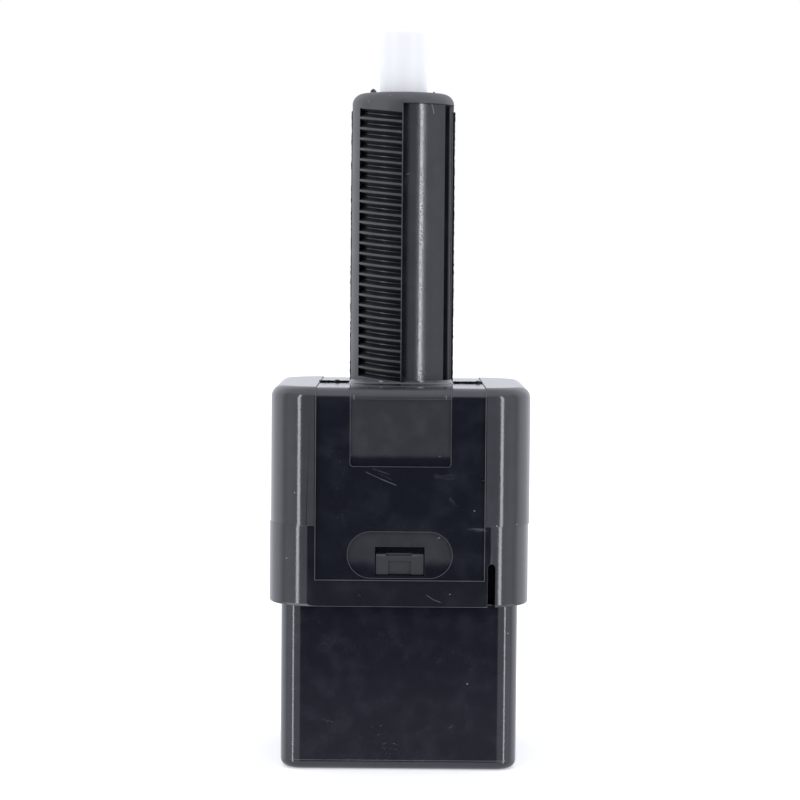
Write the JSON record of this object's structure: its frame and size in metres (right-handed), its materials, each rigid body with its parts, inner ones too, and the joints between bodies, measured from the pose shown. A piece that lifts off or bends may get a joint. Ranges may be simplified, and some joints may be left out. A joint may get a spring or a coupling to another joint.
{
  "type": "brake light switch",
  "caption": "Plunger switch with a long part-threaded neck, square housing and rectangular connector shroud; a sprung white plunger opens and closes two contact pairs.",
  "frame": {"origin": "middle of the connector shroud's rim, on the neck's axis", "axes": "+Z along the neck towards the plunger's tip; -Y is the side with the panel, snap window and slot; +X to the right of it"},
  "size_m": [0.0247, 0.024, 0.0704],
  "materials": {
    "black_plastic": "moulded gloss with satin recesses",
    "white_plastic": "smooth natural white",
    "spring_steel": "drawn wire",
    "terminal_brass": "tin-plated stamping",
    "contact_copper": "stamped copper alloy",
    "contact_silver": "polished silver alloy button"
  },
  "bodies": {
    "housing": {"case": "black_plastic", "connector_base": "black_plastic", "return_spring": "spring_steel", "brake_terminal_front": "terminal_brass", "brake_terminal_rear": "terminal_brass", "cruise_terminal_front": "terminal_brass", "cruise_terminal_rear": "terminal_brass", "brake_fixed_contact_front": "contact_silver", "brake_fixed_contact_rear": "contact_silver", "cruise_fixed_contact_front": "contact_silver", "cruise_fixed_contact_rear": "contact_silver"},
    "plunger": {"plunger": "white_plastic", "brake_contact_spring": "spring_steel", "cruise_contact_spring": "spring_steel"},
    "brake_bridge": {"brake_contact_bridge": "contact_copper", "brake_moving_contact_front": "contact_silver", "brake_moving_contact_rear": "contact_silver"},
    "cruise_bridge": {"cruise_contact_bridge": "contact_copper", "cruise_moving_contact_front": "contact_silver", "cruise_moving_contact_rear": "contact_silver"}
  },
  "joints": [
    {"name": "plunger_slide", "type": "slide", "parent": "housing", "child": "plunger", "axis": [0, 0, 1], "range_m": [-0.0055, 0], "stiffness_N_per_m": 900, "springref_m": 0.005, "deforming": ["return_spring"]},
    {"name": "brake_bridge_slide", "type": "slide", "parent": "plunger", "child": "brake_bridge", "axis": [0, 0, 1], "range_m": [0, 0.0015], "deforming": ["brake_contact_spring"]},
    {"name": "cruise_bridge_slide", "type": "slide", "parent": "plunger", "child": "cruise_bridge", "axis": [0, 0, 1], "range_m": [0, 0.0015], "deforming": ["cruise_contact_spring"]}
  ],
  "couplings": [
    {"joint": "brake_bridge_slide", "follows": "plunger_slide", "ratio": -0.27273},
    {"joint": "cruise_bridge_slide", "follows": "plunger_slide", "ratio": -0.27273}
  ]
}
